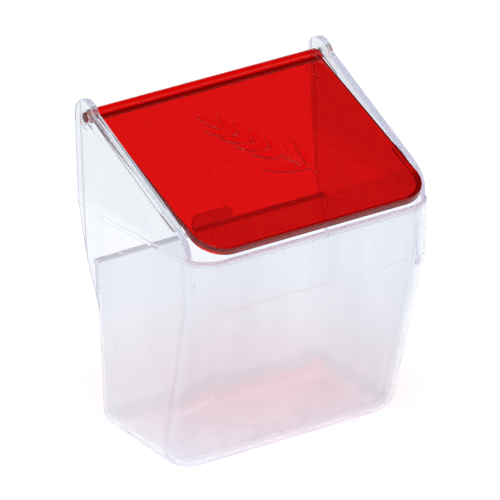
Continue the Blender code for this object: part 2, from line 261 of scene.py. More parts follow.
# Scratches: how their noise is stretched along X, Y and Z, and the scale of their patches
LEVEL_SCRATCHES = ((18.0, 18.0, 190.0), 70.0)
UPRIGHT_SCRATCHES = ((210.0, 160.0, 40.0), 55.0)
LID_SCRATCHES = ((150.0, 40.0, 60.0), 60.0)
SCRATCH_LINE = (0.0006, 0.0022)
SCRATCH_PATCH = (0.58, 0.64)

# Clear plastic: how clear it is, colours of its inside and its surface, roughness, and relief in metres
CLEAR_SHARE = 0.975
CLEAR_AMBIENT = (0.43, 0.43, 0.49)
CLEAR_SHADOW = (0.93, 0.94, 0.95)
CLEAR_VOLUME = (0.80, 0.80, 0.90)
CLEAR_DENSITY = 18.0
CLEAR_BELOW_RIM = (0.875, 0.90, 0.925)
CLEAR_ABOVE_RIM = (0.765, 0.80, 0.83)
CLOUD_COLOUR = (0.78, 0.80, 0.84)
CLOUD_STRENGTH = 0.30
BAND_COLOUR = (0.80, 0.83, 0.86)
BAND_STRENGTH = 0.35
# Painted shade in lines at the front corners
CORNER_SHADE_COLOUR = (0.62, 0.62, 0.67)
# Painted shade on the sill, its tab and the edges of the rear opening
EDGE_SHADE_COLOUR = (0.32, 0.30, 0.34)
# Painted shade on the turn from the walls to the floor
FOOT_SHADE_COLOUR = (0.66, 0.66, 0.70)
# Painted reflection of the lid's red edge on the rim
RIM_REFLECTION_COLOUR = (0.72, 0.58, 0.67)
SCRATCH_COLOUR = (0.99, 0.99, 1.0)
CLEAR_ROUGHNESS = (0.008, 0.035)
CLEAR_SCRATCH_ROUGHNESS = 0.25
STREAK_HEIGHT = 0.00004
CLEAR_WAVE_HEIGHT = 0.00003
CLEAR_SCRATCH_DEPTH = 0.00001

# Zones of the clear plastic: where each limit starts and ends, and how strong the zone is at most
ABOVE_RIM = (RIM_HEIGHT - 0.002, RIM_HEIGHT + 0.004)
CLOUD_LEVELS = (0.40, 0.72)
BAND_LEVELS = (0.45, 0.62)
FILM_LEVELS = (0.35, 0.75)
# Where the painted shade of the corner lines lies
CORNER_LINE = (0.0, 0.0014)
CORNER_TOP = (-0.004, 0.0)
CORNER_STRENGTH = 0.4
# Where the painted shade of the sill, the tab and the rear edges lies
SILL_BOTTOM = (SILL_Z - 0.0014, SILL_Z - 0.0009)
SILL_TOP = (SILL_Z + 0.0002, SILL_Z + 0.0009)
SILL_FACE = (0.0248, 0.0256)
SILL_END = (0.0420, 0.0426)
SILL_STRENGTH = 0.75
TAB_SHARE = 0.35
REAR_LINE_Y = 0.0314
REAR_LINE = (0.0001, 0.0006)
REAR_LINE_FOOT = (SILL_Z - 0.001, SILL_Z)
CHEEK_INSIDE = (0.0436, 0.0440)
# Where the painted reflection on the rim lies
RIM_TOP = (-0.0016, -0.0004)
RIM_SIDES = (RIM["front"] + 0.006, RIM["front"] + 0.010)
# Where the painted shade of the foot lies
FOOT_BOTTOM = (0.0016, 0.0026)
FOOT_TOP = (0.0045, 0.0080)
FOOT_STRENGTH = 0.26

# Red plastic: the same, with its zones in the lid's own frame
RED_AMBIENT = (0.20, 0.03, 0.03)
RED_SHADOW = (0.94, 0.94, 0.94)
RED_VOLUME = (0.98, 0.0, 0.0)
RED_DENSITY = 2000.0
RED_REFLECTION = (1.0, 0.5, 0.45)
RED_DARK = (0.79, 0.70, 0.70)
RED_LIGHT = (0.85, 0.80, 0.80)
# Painted shade in the groove under the hinge bar
GROOVE_SHADE_COLOUR = (0.10, 0.03, 0.03)
# Painted shade on the lip under the lid's front end
LIP_SHADE_COLOUR = (0.12, 0.04, 0.04)
RED_ROUGHNESS = (0.015, 0.06)
RED_SCRATCH_ROUGHNESS = 0.3
RING_HEIGHT = 0.00004
RED_WAVE_HEIGHT = 0.00002
RED_SCRATCH_DEPTH = 0.000012
MOTTLE_LEVELS = (0.3, 0.7)
# Where the painted shade of the groove lies
GROOVE_LINE = (0.00025, 0.0006)
GROOVE_FOOT = (LID_TOP - 0.0012, LID_TOP - 0.0008)
GROOVE_STRENGTH = 0.9
# Where the painted shade of the lip lies
LIP_TOP = (LID_TOP - LID_THICKNESS - 0.00025, LID_TOP - LID_THICKNESS + 0.0001)
LIP_REAR = (LID_LIP_FULL, LID_LIP_START)

# Stage: floor, light tent with a dark card, lights (place, size and power) and camera
FLOOR_RADIUS = 6.0
FLOOR_SIDES = 96
FLOOR_GAP = 0.0001
FLOOR_COLOUR = (0.92, 0.92, 0.93)
FLOOR_ROUGHNESS = 0.7
FLOOR_GLOW = 0.50
TENT_COLOUR = (0.95, 0.97, 1.0)
TENT_HEIGHTS = (0.0, 0.9)
TENT_STRENGTHS = (0.7, 0.45)
CARD_DIRECTION = Vector((0.50, 0.30, 0.81)).normalized()
CARD_EDGES = (math.cos(math.radians(42)), math.cos(math.radians(22)))
CARD_STRENGTHS = (1.0, 0.05)
LIGHTS = (("key", Vector((-0.35, -0.55, 2.0)), 1.3, 14.0),
          ("fill", Vector((1.8, -1.4, 1.3)), 1.6, 4.0))
LIGHT_TARGET = Vector((0, 0, 0.05))
CAMERA_PLACE = Vector((-1.21361, -1.76658, 1.06595))
CAMERA_TARGET = Vector((-0.00577, -0.00417, 0.06364))
CAMERA_ROLL = math.radians(0.263)
CAMERA_SENSOR = 36.0
CAMERA_LENS = 548.0

# Overlap of cutting tools, a length too small to see, how far a sharp corner's offset may reach, and
# what counts as sharp or flat in shading
CUT = 0.0020
TINY = 0.00001
LEAST_MITRE = 0.5
SHARP_ANGLE = math.radians(38)
FLAT = 0.99999


# ---- small helpers ------------------------------------------------------------------------

def arc(centre, radius, start, end, steps):
    """Points on an arc in a plane, from the start to the end angle in degrees."""
    points = []
    for step in range(steps + 1):
        angle = math.radians(start + (end - start) * step / steps)
        points.append((centre[0] + radius * math.cos(angle), centre[1] + radius * math.sin(angle)))
    return points


def link(name, mesh):
    item = bpy.data.objects.new(name, mesh)
    bpy.context.scene.collection.objects.link(item)
    return item


def solid(name, rings):
    """A closed solid through rings that have the same number of points, capped at both ends."""
    shape = bmesh.new()
    levels = [[shape.verts.new(point) for point in ring] for ring in rings]
    for lower, upper in zip(levels, levels[1:]):
        for i in range(len(lower)):
            j = (i + 1) % len(lower)
            shape.faces.new((lower[i], lower[j], upper[j], upper[i]))
    shape.faces.new(list(reversed(levels[0])))
    shape.faces.new(levels[-1])
    bmesh.ops.recalc_face_normals(shape, faces=shape.faces)
    mesh = bpy.data.meshes.new(name)
    shape.to_mesh(mesh)
    shape.free()
    return link(name, mesh)


def offset(outline, inset):
    """The outline moved inwards. It runs anticlockwise, and the inset may differ at each point."""
    count = len(outline)
    insets = inset if isinstance(inset, list) else [inset] * count
    moved = []
    for i in range(count):
        here = Vector(outline[i])
        before = (here - Vector(outline[i - 1])).normalized()
        after = (Vector(outline[(i + 1) % count]) - here).normalized()
        normal = Vector((-before.y - after.y, before.x + after.x)).normalized()
        reach = insets[i] / max(normal.dot(Vector((-after.y, after.x))), LEAST_MITRE)
        moved.append(tuple(here + normal * reach))
    return moved


def mirrored(item):
    """Adds the mirror image at -X to a solid made at +X."""
    shape = bmesh.new()
    shape.from_mesh(item.data)
    copy = bmesh.ops.duplicate(shape, geom=shape.verts[:] + shape.edges[:] + shape.faces[:])
    vertices = [part for part in copy["geom"] if isinstance(part, bmesh.types.BMVert)]
    bmesh.ops.scale(shape, vec=(-1, 1, 1), verts=vertices)
    bmesh.ops.recalc_face_normals(shape, faces=shape.faces)
    shape.to_mesh(item.data)
    shape.free()
    return item


def rod(name, radius, start, end, steps, rounding=0.0):
    """A solid rod along X, with rounded ends where a rounding is given."""
    stations = [(start, radius)]
    if rounding:
        angles = [math.pi / 2 * step / LIP_STEPS for step in range(LIP_STEPS + 1)]
        stations = [(start + rounding * (1 - math.cos(angle)), radius - rounding * (1 - math.sin(angle)))
                    for angle in angles]
    profile = stations + [(start + end - x, r) for x, r in reversed(stations)]
    rings = [[(x, r * math.cos(math.tau * i / steps), r * math.sin(math.tau * i / steps))
              for i in range(steps)] for x, r in profile]
    return solid(name, rings)


def block(name, low, high):
    rings = [[(low[0], low[1], z), (high[0], low[1], z), (high[0], high[1], z), (low[0], high[1], z)]
             for z in (low[2], high[2])]
    return solid(name, rings)


def combine(target, tools):
    """Apply a list of (tool, operation) booleans to the target, and remove the tools."""
    for tool, operation in tools:
        modifier = target.modifiers.new(tool.name, 'BOOLEAN')
        modifier.operation = operation
        modifier.solver = 'EXACT'
        modifier.object = tool
    bpy.context.view_layer.update()
    evaluated = target.evaluated_get(bpy.context.evaluated_depsgraph_get())
    mesh = bpy.data.meshes.new_from_object(evaluated)
    mesh.validate()
    target.modifiers.clear()
    target.data = mesh
    for tool, _ in tools:
        bpy.data.objects.remove(tool, do_unlink=True)
    return target


def finish_mesh(item, flat_normal=None):
    """Smooth shading with sharp edges kept, and faces square to a given normal kept flat."""
    item.data.shade_smooth()
    item.data.set_sharp_from_angle(angle=SHARP_ANGLE)
    if flat_normal is not None:
        shape = bmesh.new()
        shape.from_mesh(item.data)
        for edge in shape.edges:
            flats = [abs(face.normal.dot(flat_normal)) > FLAT for face in edge.link_faces]
            if len(set(flats)) == 2:
                edge.smooth = False
        shape.to_mesh(item.data)
        shape.free()
    weighted = item.modifiers.new("weighted_normals", 'WEIGHTED_NORMAL')
    weighted.keep_sharp = True
    weighted.weight = 100


# ---- hopper -------------------------------------------------------------------------------

def floor_z():
    """Where the underside of the floor crosses the rim frame's Z axis."""
    return -RIM_HEIGHT / math.cos(LEAN)


def rounded_section(shape, inset, corner_inset, height):
    """A rounded rectangle, anticlockwise, at one height or at a height worked out from Y."""
    front_radius = max(shape["radius"] - corner_inset, LEAST_FRONT_RADIUS)
    back_radius = max(BACK_RADIUS - corner_inset, LEAST_BACK_RADIUS)
    half, front, back = shape["half"] - inset, shape["front"] + inset, shape["back"] - inset
    points = (arc((-half + front_radius, front + front_radius), front_radius, 180, 270, FRONT_STEPS)
              + arc((half - front_radius, front + front_radius), front_radius, 270, 360, FRONT_STEPS)
              + arc((half - back_radius, back - back_radius), back_radius, 0, 90, BACK_STEPS)
              + arc((-half + back_radius, back - back_radius), back_radius, 90, 180, BACK_STEPS))
    return [(x, y, height(y) if callable(height) else height) for x, y in points]


def between(low, high, share):
    """A section part of the way from one to another."""
    return {key: low[key] + (high[key] - low[key]) * share for key in low}


def wall_rings(inset, floor_rise):
    """Rings of one side of the wall, from the floor up to just under the rim's lip."""
    drop = CREASE_Z - floor_z() - FLOOR_CENTRE_Y * math.tan(LEAN)
    fillet = FLOOR_FILLET - inset
    rings = []
    for step in range(FILLET_STEPS + 1):
        angle = math.pi / 2 * (1 - step / FILLET_STEPS)
        z = CREASE_Z - drop + floor_rise + fillet * (1 - math.sin(angle))
        level = (CREASE_Z - z) / drop
        narrowing = fillet * (1 - math.cos(angle))
        slope = math.tan(LEAN) * level
        rings.append(rounded_section(between(CREASE, FLOOR, level), inset + narrowing,
                                     inset + FLOOR_CORNER_SHARE * narrowing,
                                     lambda y, z=z, slope=slope: z + slope * (y - FLOOR_CENTRE_Y)))
    below = CREASE_BLEND / drop
    above = CREASE_BLEND / -CREASE_Z
    low_blend = between(CREASE, FLOOR, below)
    high_blend = between(CREASE, RIM, above)
    for step in range(BLEND_STEPS + 1):
        share = step / BLEND_STEPS
        path = {key: low_blend[key] * (1 - share) ** 2 + CREASE[key] * 2 * share * (1 - share)
                + high_blend[key] * share ** 2 for key in CREASE}
        rings.append(rounded_section(path, inset, inset, CREASE_Z + CREASE_BLEND * (2 * share - 1)))
    rings.append(rounded_section(RIM, inset, inset, -LIP_RADIUS))
    return rings


def lip_rings():
    """The rounded top of the rim, from the outside over to the inside."""
    rings = []
    for centre, start, end in ((LIP_RADIUS, 90, 0), (WALL + LAND_RISE - LIP_RADIUS, 0, -90)):
        for step in range(LIP_STEPS + 1):
            angle = math.radians(start + (end - start) * step / LIP_STEPS)
            inset = centre - LIP_RADIUS * math.sin(angle)
            rings.append(rounded_section(RIM, inset, inset, LIP_RADIUS * (math.cos(angle) - 1)))
    return rings


def hopper():
    outside = wall_rings(0.0, 0.0)
    inside = wall_rings(WALL, FLOOR_THICKNESS)
    land = [rounded_section(RIM, WALL + rise, WALL + rise, -LAND_DEPTH - depth)
            for rise, depth in ((LAND_RISE, 0.0), (0.0, LAND_RISE))]
    return solid("bin_shell", outside[:-1] + lip_rings() + land + inside[:-1][::-1])


# ---- side plates --------------------------------------------------------------------------

def slope_z(y):
    """Height of the cheek's sloped edge above the rim plane."""
    return SLOPE_AT_ZERO + math.tan(SLOPE_ANGLE) * y


def ear_meets_slope():
    """Angle, in degrees, at which the ear's circle runs into the sloped edge."""
    to_slope = (slope_z(HINGE_Y) - HINGE_Z) * math.cos(SLOPE_ANGLE)
    return 180.0 + math.degrees(SLOPE_ANGLE - math.asin(to_slope / EAR_RADIUS))


def cheek_outline():
    """Points of the cheek in Y and Z, anticlockwise, each with its share of the bead's rise."""
    points = [((CHEEK_FRONT, CHEEK_FOOT), 0.0), ((CHEEK_BACK, CHEEK_FOOT), 0.0),
              ((CHEEK_BACK, HINGE_Z * 0.5), 0.0), ((CHEEK_BACK, HINGE_Z - EAR_RADIUS), 0.0)]
    ear = arc((HINGE_Y, HINGE_Z), EAR_RADIUS, 0, ear_meets_slope(), EAR_STEPS)
    points += [(point, 1.0) for point in ear]
    knee = Vector((KNEE_Y, slope_z(KNEE_Y)))
    corner = Vector((CHEEK_FRONT, slope_z(CHEEK_FRONT)))
    foot = Vector((CHEEK_FRONT, CHEEK_FRONT_FOOT))
    middle = (Vector(ear[-1]) + knee) / 2
    points.append((tuple(middle), 1.0))
    for step in range(FRONT_CURVE_STEPS + 1):
        t = step / FRONT_CURVE_STEPS
        point = knee * (1 - t) ** 2 + corner * 2 * t * (1 - t) + foot * t ** 2
        points.append((tuple(point), max(0.0, 1.0 - BEAD_FALL * t)))
    return points


def plate_rings(outline, inner_x, outer_x, edge_radius, rises=None):
    """Rings of a plate across X with rounded edges, and a raised strip along part of its edge."""
    rises = rises or [0.0] * len(outline)
    rings = []

    def ring(inset, x_of_rise):
        insets = [min(inset, edge_radius) + max(inset - edge_radius, 0.0) * max(rise, BEAD_FADE)
                  for rise in rises]
        rings.append([(x_of_rise(rise), y, z)
                      for (y, z), rise in zip(offset(outline, insets), rises)])

    if any(rises):
        ring(BEAD_WIDTH + BEAD_RISE, lambda rise: inner_x)
        for step in range(LIP_STEPS + 1):
            angle = math.pi * step / LIP_STEPS
            share = (1 - math.cos(angle)) / 2
            ring(BEAD_WIDTH + BEAD_RISE * 0.5 * (1 - step / LIP_STEPS) - TINY,
                 lambda rise, share=share: inner_x - BEAD_RISE * rise * share)
    for step in range(LIP_STEPS + 1):
        angle = math.pi / 2 * step / LIP_STEPS
        ring(edge_radius * (1 - math.sin(angle)),
             lambda rise, angle=angle: inner_x - BEAD_RISE * rise + edge_radius * (1 - math.cos(angle)))
    for step in range(LIP_STEPS + 1):
        angle = math.pi / 2 * step / LIP_STEPS
        ring(edge_radius * (1 - math.cos(angle)),
             lambda rise, angle=angle: outer_x - edge_radius * (1 - math.sin(angle)))
    return rings


def side_offset(y, z):
    """How far the side wall lies inside the rim's half width, at a point of its surface."""
    above_crease = min(max(z / CREASE_Z, 0.0), 1.0)
    below_crease = max((CREASE_Z - z) / (CREASE_Z - floor_z()), 0.0)
    taper = (RIM["half"] - CREASE["half"]) * above_crease
    taper += (CREASE["half"] - FLOOR["half"]) * below_crease
    radius = RIM["radius"]
    past_corner = min(max(RIM["front"] + radius - y, 0.0), radius)
    return taper + radius - math.sqrt(radius ** 2 - past_corner ** 2)


def follow_wall(item):
    """Cut a flat side plate at the bends of the side wall and lay it along that wall."""
    shape = bmesh.new()
    shape.from_mesh(item.data)
    corner_start = RIM["front"] + RIM["radius"]
    bends = [((0, 0, z), (0, 0, 1)) for z in (0.0, CREASE_Z)]
    bends += [((0, corner_start - step * BEND_STEP, 0), (0, 1, 0)) for step in range(BEND_COUNT)]
    for point, normal in bends:
        everything = shape.verts[:] + shape.edges[:] + shape.faces[:]
        bmesh.ops.bisect_plane(shape, geom=everything, plane_co=point, plane_no=normal, dist=TINY / 10)
    for vertex in shape.verts:
        vertex.co.x -= side_offset(vertex.co.y, vertex.co.z)
    shape.to_mesh(item.data)
    shape.free()
    return item


def rounded_corners(corners, cuts):
    """Points of a closed outline whose corners are rounded. A cut is the length taken from each side."""
    points = []
    for i, cut in enumerate(cuts):
        corner = Vector(corners[i])
        before = corner + (Vector(corners[i - 1]) - corner).normalized() * cut
        after = corner + (Vector(corners[(i + 1) % len(corners)]) - corner).normalized() * cut
        for step in range(PANEL_CORNER_STEPS + 1):
            t = step / PANEL_CORNER_STEPS
            points.append(tuple(before * (1 - t) ** 2 + corner * 2 * t * (1 - t) + after * t ** 2))
    return points


def panel():
    """A shallow recess that leaves a cheek a little thinner inside its bead."""
    corners = [(PANEL_FRONT, PANEL_FOOT), (PANEL_BACK, PANEL_FOOT), (PANEL_BACK, PANEL_BACK_TOP),
               (PANEL_TOP_Y, slope_z(PANEL_TOP_Y) - PANEL_BELOW_SLOPE),
               (PANEL_FRONT, slope_z(PANEL_FRONT) - PANEL_BELOW_SLOPE)]
    outline = rounded_corners(corners, PANEL_CUTS)
    inner = HALF_WIDTH - CHEEK_THICKNESS
    rings = [[(x, y, z) for y, z in outline] for x in (inner - CUT, inner + PANEL_DEPTH)]
    return solid("panel", rings)


def cheeks():
    """The side plates with their sloped edges, ears and panels."""
    points = cheek_outline()
    outline = [point for point, _ in points]
    rises = [rise for _, rise in points]
    rings = plate_rings(outline, HALF_WIDTH - CHEEK_THICKNESS, HALF_WIDTH, EDGE_RADIUS, rises)
    plate = combine(follow_wall(solid("cheeks", rings)), [(panel(), 'DIFFERENCE')])
    return mirrored(plate)


def wings():
    """The side walls carried back past the back wall."""
    outline = [(WING_ROOT, -CHEEK_FOOT), (WING_ROOT, WING_TIP_Z), (WING_TIP_Y, WING_TIP_Z),
               (WING_CREASE_Y, CREASE_Z), (CHEEK_BACK, 0.0), (CHEEK_BACK, -CHEEK_FOOT)]
    rings = plate_rings(outline, RIM["half"] - WALL + SEAM, RIM["half"] - SEAM, EDGE_RADIUS)
    return mirrored(follow_wall(solid("wings", rings)))


def bosses():
    """The thick round ends of the beads, where the hinge holes are."""
    inner = HALF_WIDTH - CHEEK_THICKNESS - BEAD_RISE - BOSS_RISE
    boss = rod("bosses", BOSS_RADIUS, inner, HALF_WIDTH - CHEEK_THICKNESS / 2, BOSS_SIDES)
    boss.data.transform(Matrix.Translation((0, HINGE_Y, HINGE_Z)))
    return mirrored(boss)


def hinge_holes():
    """Round holes with a small chamfer on the outside."""
    outer = HALF_WIDTH
    inner = HALF_WIDTH - CHEEK_THICKNESS - BEAD_RISE - CUT
    stations = [(inner, HOLE_RADIUS), (outer - HOLE_CHAMFER, HOLE_RADIUS),
                (outer + TINY, HOLE_RADIUS + HOLE_CHAMFER), (outer + CUT, HOLE_RADIUS + HOLE_CHAMFER)]
    turns = [math.tau * i / HOLE_SIDES for i in range(HOLE_SIDES)]
    rings = [[(x, HINGE_Y + radius * math.cos(turn), HINGE_Z + radius * math.sin(turn))
              for turn in turns] for x, radius in stations]
    return mirrored(solid("hinge_holes", rings))


def lead_ins():
    """Shallow slots in the beads that lead the pins into their holes."""
    along = math.degrees(SLOPE_ANGLE)
    end = (HINGE_Y - LEAD_IN_LENGTH * math.cos(SLOPE_ANGLE),
           HINGE_Z - LEAD_IN_LENGTH * math.sin(SLOPE_ANGLE) + LEAD_IN_LIFT)
    back = along + 180
    outline = (arc((HINGE_Y, HINGE_Z), HOLE_RADIUS, along - LEAD_IN_SPREAD, along + LEAD_IN_SPREAD,
                   LEAD_IN_STEPS)
               + arc(end, LEAD_IN_END_RADIUS, back - LEAD_IN_SPREAD, back + LEAD_IN_SPREAD,
                     LEAD_IN_STEPS))
    inner = HALF_WIDTH - CHEEK_THICKNESS - BEAD_RISE
    rings = [[(x, y, z) for y, z in outline] for x in (inner - CUT, inner + LEAD_IN_DEPTH)]
    return mirrored(solid("lead_ins", rings))


def ledges():
    """Small ledges inside the cheeks, square to the lid, on which the closed lid rests."""
    top = LID_TOP - LID_THICKNESS - GAP
    bead = HALF_WIDTH - CHEEK_THICKNESS - BEAD_RISE
    ledge = block("ledges", (bead - LEDGE_DEPTH, LUG_Y - LEDGE_LENGTH / 2, top - LEDGE_THICKNESS),
                  (bead + LEDGE_ROOT, LUG_Y + LEDGE_LENGTH / 2, top))
    ledge.data.transform(Matrix.Translation((0, HINGE_Y, HINGE_Z)) @ Matrix.Rotation(LID_SLOPE, 4, 'X'))
    return mirrored(ledge)


def sill():
    """A rounded bar that finishes the top of the back wall."""
    bar = rod("sill", SILL_RADIUS, -OPENING_HALF_WIDTH, OPENING_HALF_WIDTH, ROD_SIDES)
    bar.data.transform(Matrix.Translation((0, RIM["back"] - WALL / 2, SILL_Z - SILL_RADIUS / 2)))
    return bar


def tab():
    """A round-cornered tab that stands on the sill."""
    x = TAB_HALF_WIDTH - TAB_CORNER_RADIUS
    z = SILL_Z + TAB_RISE - TAB_CORNER_RADIUS
    outline = ([(-TAB_HALF_WIDTH, SILL_Z - CUT), (TAB_HALF_WIDTH, SILL_Z - CUT)]
               + arc((x, z), TAB_CORNER_RADIUS, 0, 90, TAB_CORNER_STEPS)
               + arc((-x, z), TAB_CORNER_RADIUS, 90, 180, TAB_CORNER_STEPS))
    back = RIM["back"] - WALL / 2 + TAB_THICKNESS / 2
    far_side = tuple((inset, TAB_THICKNESS - depth) for inset, depth in reversed(TAB_ROUNDING))
    rings = [[(x, back - depth, z) for x, z in offset(outline, inset)]
             for inset, depth in TAB_ROUNDING + far_side]
    return solid("tab", rings)


def flow_marks():
    """Faint upright ridges on the inside of the front wall."""
    marks = []
    for number, (x, y, top, bottom) in enumerate(FLOW_MARKS):
        mark = rod("flow_mark_%d" % number, FLOW_RADIUS, -(top - bottom) / 2, (top - bottom) / 2,
                   ROD_SIDES, FLOW_ROUNDING)
        mark.data.transform(Matrix.Translation((x, y - FLOW_RADIUS + FLOW_RISE, (top + bottom) / 2))
                            @ Matrix.Rotation(math.radians(90), 4, 'Y'))
        marks.append(mark)
    return marks


def gate_mark():
    """A low dome on the floor, with its foot a little below the surface."""
    radius = (GATE_RADIUS ** 2 + GATE_RISE ** 2) / (2 * GATE_RISE)
    widest = math.asin(GATE_RADIUS / radius) * GATE_OVERLAP
    x, y = GATE_PLACE
    top = floor_z() + FLOOR_THICKNESS + math.tan(LEAN) * y
    turns = [math.tau * i / GATE_SIDES for i in range(GATE_SIDES)]
    rings = []
    for step in range(GATE_RINGS):
        reach = widest * (1 - step / (GATE_RINGS - 0.5))
        rings.append([(x + radius * math.sin(reach) * math.cos(turn),
                       y + radius * math.sin(reach) * math.sin(turn),
                       top + GATE_RISE - radius * (1 - math.cos(reach))) for turn in turns])
    return solid("gate_mark", rings)


def build_bin():
    opening = block("opening", (-OPENING_HALF_WIDTH, OPENING_FRONT, SILL_Z),
                    (OPENING_HALF_WIDTH, OPENING_BACK, OPENING_TOP))
    shell = combine(hopper(), [
        (opening, 'DIFFERENCE'), (sill(), 'UNION'), (tab(), 'UNION'), (wings(), 'UNION'),
        (cheeks(), 'UNION'), (bosses(), 'UNION'), (ledges(), 'UNION'),
        (hinge_holes(), 'DIFFERENCE'), (lead_ins(), 'DIFFERENCE'), (gate_mark(), 'UNION')]
        + [(mark, 'UNION') for mark in flow_marks()])
    shell.data.transform(RIM_FRAME)
    finish_mesh(shell)
    return shell


# ---- lid ----------------------------------------------------------------------------------

def lug(side):
    """A shallow bulge of the lid's side edge, from its rear end to its front end."""
    radius = (LUG_HALF_LENGTH ** 2 + LUG_HEIGHT ** 2) / (2 * LUG_HEIGHT)
    centre = LID_HALF_WIDTH + LUG_HEIGHT - radius
    points = []
    for step in range(LUG_STEPS + 1):
        y = LUG_Y + LUG_HALF_LENGTH * (1 - 2 * step / LUG_STEPS)
        points.append((side * (centre + math.sqrt(radius ** 2 - (y - LUG_Y) ** 2)), y))
    return points


def lid_outline():
    """The lid seen from above, anticlockwise from its rear left corner."""
    x = LID_HALF_WIDTH - LID_CORNER_RADIUS
    y = -LID_LENGTH + LID_CORNER_RADIUS
    left = [(-LID_HALF_WIDTH, LID_REAR)] + lug(-1)
    front = (arc((-x, y), LID_CORNER_RADIUS, 180, 270, LID_CORNER_STEPS)
             + arc((x, y), LID_CORNER_RADIUS, 270, 360, LID_CORNER_STEPS))
    right = lug(1)[::-1] + [(LID_HALF_WIDTH, LID_REAR)]
    return left + front + right


def lip(y):
    """How far the rim of the lid's front end reaches down below the plate."""
    share = min(max((y - LID_LIP_START) / (LID_LIP_FULL - LID_LIP_START), 0.0), 1.0)
    return LID_LIP * share * share * (3 - 2 * share)


def lid_plate():
    """The plate with its rounded edge and the lip under its front end."""
    outline = lid_outline()
    bottom = LID_TOP - LID_THICKNESS
    rings = [[(x, y, bottom) for x, y in offset(outline, LID_LIP_WIDTH + LID_LIP_SLOPE)],
             [(x, y, bottom - lip(y)) for x, y in offset(outline, LID_LIP_WIDTH)]]
    for centre, start, end, drop in ((bottom + LID_EDGE_RADIUS, -90, 0, 1),
                                     (LID_TOP - LID_EDGE_RADIUS, 0, 90, 0)):
        for step in range(LIP_STEPS + 2):
            angle = math.radians(start + (end - start) * step / (LIP_STEPS + 1))
            inset = LID_EDGE_RADIUS * (1 - math.cos(angle))
            z = centre + LID_EDGE_RADIUS * math.sin(angle)
            rings.append([(x, y, z - drop * lip(y)) for x, y in offset(outline, inset)])
    return solid("lid_plate", rings)


def raised(name, outline, edge):
    """A low relief on the lid's top face that rounds over from its rim."""
    rings = [[(x, y, LID_TOP - EMBLEM_RISE) for x, y in outline]]
    for step in range(EMBLEM_STEPS):
        angle = EMBLEM_TURN * step / (EMBLEM_STEPS - 1)
        rings.append([(x, y, LID_TOP + EMBLEM_RISE * math.sin(angle))
                      for x, y in offset(outline, edge * (1 - math.cos(angle)))])
    return solid(name, rings)


def grain(name, base, direction, length=GRAIN_LENGTH, width=GRAIN_WIDTH, edge=EMBLEM_EDGE):
    """A grain or leaf with a rounded foot and a pointed tip."""
    side = Vector((-direction.y, direction.x))
    points = []
    for step in range(GRAIN_STEPS):
        angle = math.tau * step / GRAIN_STEPS
        along = length * (0.5 - 0.5 * math.cos(angle))
        across = width / 2 * math.sin(angle) * (1 + GRAIN_FULLNESS * math.cos(angle))
        points.append(tuple(base + direction * along - side * across))
    return raised(name, points, edge)


def emblem():
    """An ear of grain: pairs of grains along a stem, one at its tip and two long leaves at its foot."""
    run = EMBLEM_TIP - EMBLEM_FOOT
    along = run.normalized()
    side = Vector((-along.y, along.x)) * (STEM_WIDTH / 2)
    parts = [raised("stem", [tuple(EMBLEM_FOOT + side), tuple(EMBLEM_FOOT - side),
                             tuple(EMBLEM_TIP - side), tuple(EMBLEM_TIP + side)], STEM_EDGE)]
    for pair in range(GRAIN_PAIRS):
        base = EMBLEM_FOOT + run * (GRAIN_FIRST + GRAIN_SPACING * pair)
        for name, turn in (("left", GRAIN_ANGLE), ("right", -GRAIN_ANGLE)):
            direction = Matrix.Rotation(turn, 2) @ along
            parts.append(grain("grain_%s_%d" % (name, pair), base + direction * GRAIN_GAP, direction))
    parts.append(grain("grain_tip", EMBLEM_TIP - along * TIP_OVERLAP, along))
    for name, turn, share in LEAVES:
        direction = Matrix.Rotation(turn, 2) @ along
        base = EMBLEM_FOOT + run * share
        parts.append(grain(name, base, direction, LEAF_LENGTH, LEAF_WIDTH, LEAF_EDGE))
    return parts


def build_lid():
    bar = rod("bar", BAR_RADIUS, -LID_HALF_WIDTH, LID_HALF_WIDTH, BAR_SIDES, BAR_ROUNDING)
    pins = rod("pins", PIN_RADIUS, -PIN_END, PIN_END, PIN_SIDES, PIN_ROUNDING)
    groove = rod("groove", GROOVE_RADIUS, -LID_HALF_WIDTH - CUT, LID_HALF_WIDTH + CUT, ROD_SIDES)
    groove.data.transform(Matrix.Translation((0, GROOVE_Y, LID_TOP + GROOVE_LIFT)))
    lid = combine(lid_plate(), [(bar, 'UNION'), (pins, 'UNION'), (groove, 'DIFFERENCE')]
                  + [(part, 'UNION') for part in emblem()])
    lid.data.transform(LID_FRAME)
    finish_mesh(lid, LID_FRAME.to_3x3() @ Vector((0, 0, 1)))
    return lid


# ---- materials ----------------------------------------------------------------------------

def math_node(tree, operation, first, second=0.0):
    """Arithmetic on two numbers or outputs. ABSOLUTE and SQRT use only the first."""
    node = tree.nodes.new("ShaderNodeMath")
    node.operation = operation
    for value, socket in ((first, node.inputs[0]), (second, node.inputs[1])):
        if isinstance(value, (int, float)):
            socket.default_value = value
        else:
            tree.links.new(value, socket)
    return node.outputs[0]


def product(tree, *factors):
    result = factors[0]
    for factor in factors[1:]:
        result = math_node(tree, 'MULTIPLY', result, factor)
    return result


def distance(tree, value, place):
    """How far a value is from a place, on either side of it."""
    return math_node(tree, 'ABSOLUTE', math_node(tree, 'SUBTRACT', value, place))


def fade(tree, value, span, levels):
    """A smooth change from one level to another as the value goes through a span."""
    node = tree.nodes.new("ShaderNodeMapRange")
    node.interpolation_type = 'SMOOTHSTEP'
    for socket, number in zip(node.inputs[1:5], (*span, *levels)):
        socket.default_value = number
    tree.links.new(value, node.inputs["Value"])
    return node.outputs["Result"]


def rising(tree, value, span, strength=1.0):
    return fade(tree, value, span, (0.0, strength))


def falling(tree, value, span, strength=1.0):
    return fade(tree, value, span, (strength, 0.0))


